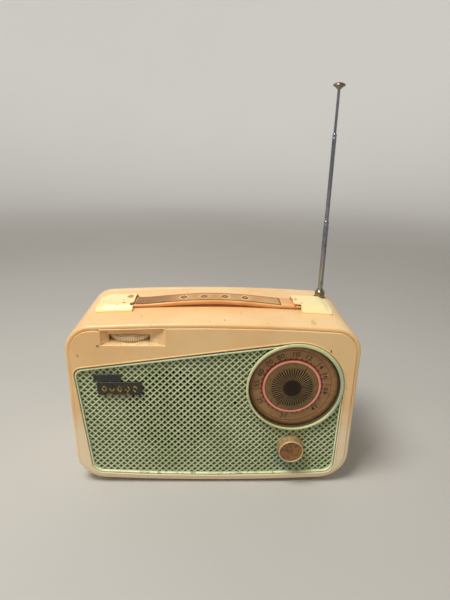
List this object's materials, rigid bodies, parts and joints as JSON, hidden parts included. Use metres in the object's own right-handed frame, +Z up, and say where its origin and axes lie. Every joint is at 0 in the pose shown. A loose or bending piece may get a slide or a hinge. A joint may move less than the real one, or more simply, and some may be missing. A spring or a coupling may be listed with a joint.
{
  "type": "tabletop radio",
  "caption": "Portable transistor radio: round-cornered cream cabinet, green lattice grille, round tuning dial, knob, finger wheel, strap handle and telescopic antenna.",
  "frame": {"origin": "centre of the bounding box's footprint, on the surface that the feet stand on", "axes": "+Z up, +Y from the dial side to the back cover, +X to the right seen from the front"},
  "size_m": [0.28, 0.121, 0.394],
  "materials": {
    "cabinet_plastic": "moulded, satin",
    "cover_plastic": "moulded, satin",
    "grille_plastic": "moulded lattice",
    "dark_plastic": "gloss",
    "dial_print": "printed",
    "clear_plastic": "clear, tinted",
    "hub_plastic": "fluted",
    "gilt": "gilt",
    "copper_plate": "anodised copper",
    "chrome": "polished",
    "nickel": "worn nickel",
    "strap_leather": "edge",
    "inlay_leather": "embossed",
    "rubber": "matte",
    "steel": "zinc plated",
    "aluminium": "sheet",
    "paper": "pressed paper",
    "phenolic": "phenolic board",
    "component_plastic": "moulded",
    "ferrite": "ferrite",
    "copper_wire": "wound wire",
    "cell_jacket": "painted"
  },
  "bodies": {
    "root": {"cabinet": "cabinet_plastic", "front_panel": "cabinet_plastic", "grille_panel": "grille_plastic", "badge_upper": "dark_plastic", "badge_lower": "dark_plastic", "dial_scale": "dial_print", "speaker_frame": "steel", "speaker_cone": "paper", "speaker_dust_cap": "paper", "speaker_magnet": "ferrite", "speaker_screws": "steel", "circuit_board": "phenolic", "board_pillars": "component_plastic", "if_cans": "aluminium", "transistors": "component_plastic", "electrolytics": "component_plastic", "resistors": "component_plastic", "output_transformer": "steel", "driver_transformer": "steel", "board_screws": "steel", "ferrite_rod": "ferrite", "antenna_coils": "copper_wire", "rod_holders": "component_plastic", "tuning_frame": "steel", "stator_plates": "aluminium", "volume_pot": "steel", "pot_bracket": "steel", "band_switch": "phenolic", "battery_box": "component_plastic", "batteries": "cell_jacket", "battery_contacts": "nickel", "back_cover": "cabinet_plastic", "back_screws": "steel", "feet": "rubber", "feet_screws": "steel", "handle_cover_left": "cover_plastic", "handle_cover_right": "cover_plastic", "handle_screws": "steel", "antenna_ferrule": "nickel", "antenna_tube": "steel", "antenna_clamp": "steel"},
    "tuning": {"dial_disc": "clear_plastic", "dial_hub": "hub_plastic", "tuning_shaft": "steel", "rotor_vanes": "aluminium"},
    "band": {"band_knob": "gilt", "band_knob_insert": "copper_plate", "band_shaft": "steel"},
    "volume": {"volume_wheel": "cover_plastic", "volume_shaft": "steel"},
    "strap": {"handle_strap": "strap_leather", "strap_inlay": "inlay_leather"},
    "mast_lower": {"antenna_lower": "chrome"},
    "mast_middle": {"antenna_middle": "chrome"},
    "mast_top": {"antenna_top": "chrome", "antenna_cap": "nickel"}
  },
  "joints": [
    {"name": "tuning_turn", "type": "hinge", "parent": "root", "child": "tuning", "pos_m": [0.0763, -0.0515, 0.114], "axis": [0, 1, 0], "range_deg": [-123, 57]},
    {"name": "band_turn", "type": "hinge", "parent": "root", "child": "band", "pos_m": [0.0786, -0.0515, 0.0448], "axis": [0, 1, 0], "range_deg": [-30, 30]},
    {"name": "volume_turn", "type": "hinge", "parent": "root", "child": "volume", "pos_m": [-0.08, -0.027, 0.1606], "axis": [0, 0, 1], "range_deg": [0, 300]},
    {"name": "strap_slide", "type": "slide", "parent": "root", "child": "strap", "axis": [1, 0, 0], "range_m": [0, 0.006]},
    {"name": "mast_lower_slide", "type": "slide", "parent": "root", "child": "mast_lower", "axis": [0, 0, 1], "range_m": [-0.0755, 0.06]},
    {"name": "mast_middle_slide", "type": "slide", "parent": "mast_lower", "child": "mast_middle", "axis": [0, 0, 1], "range_m": [-0.0865, 0.052]},
    {"name": "mast_top_slide", "type": "slide", "parent": "mast_middle", "child": "mast_top", "axis": [0, 0, 1], "range_m": [-0.0399, 0.095]}
  ]
}
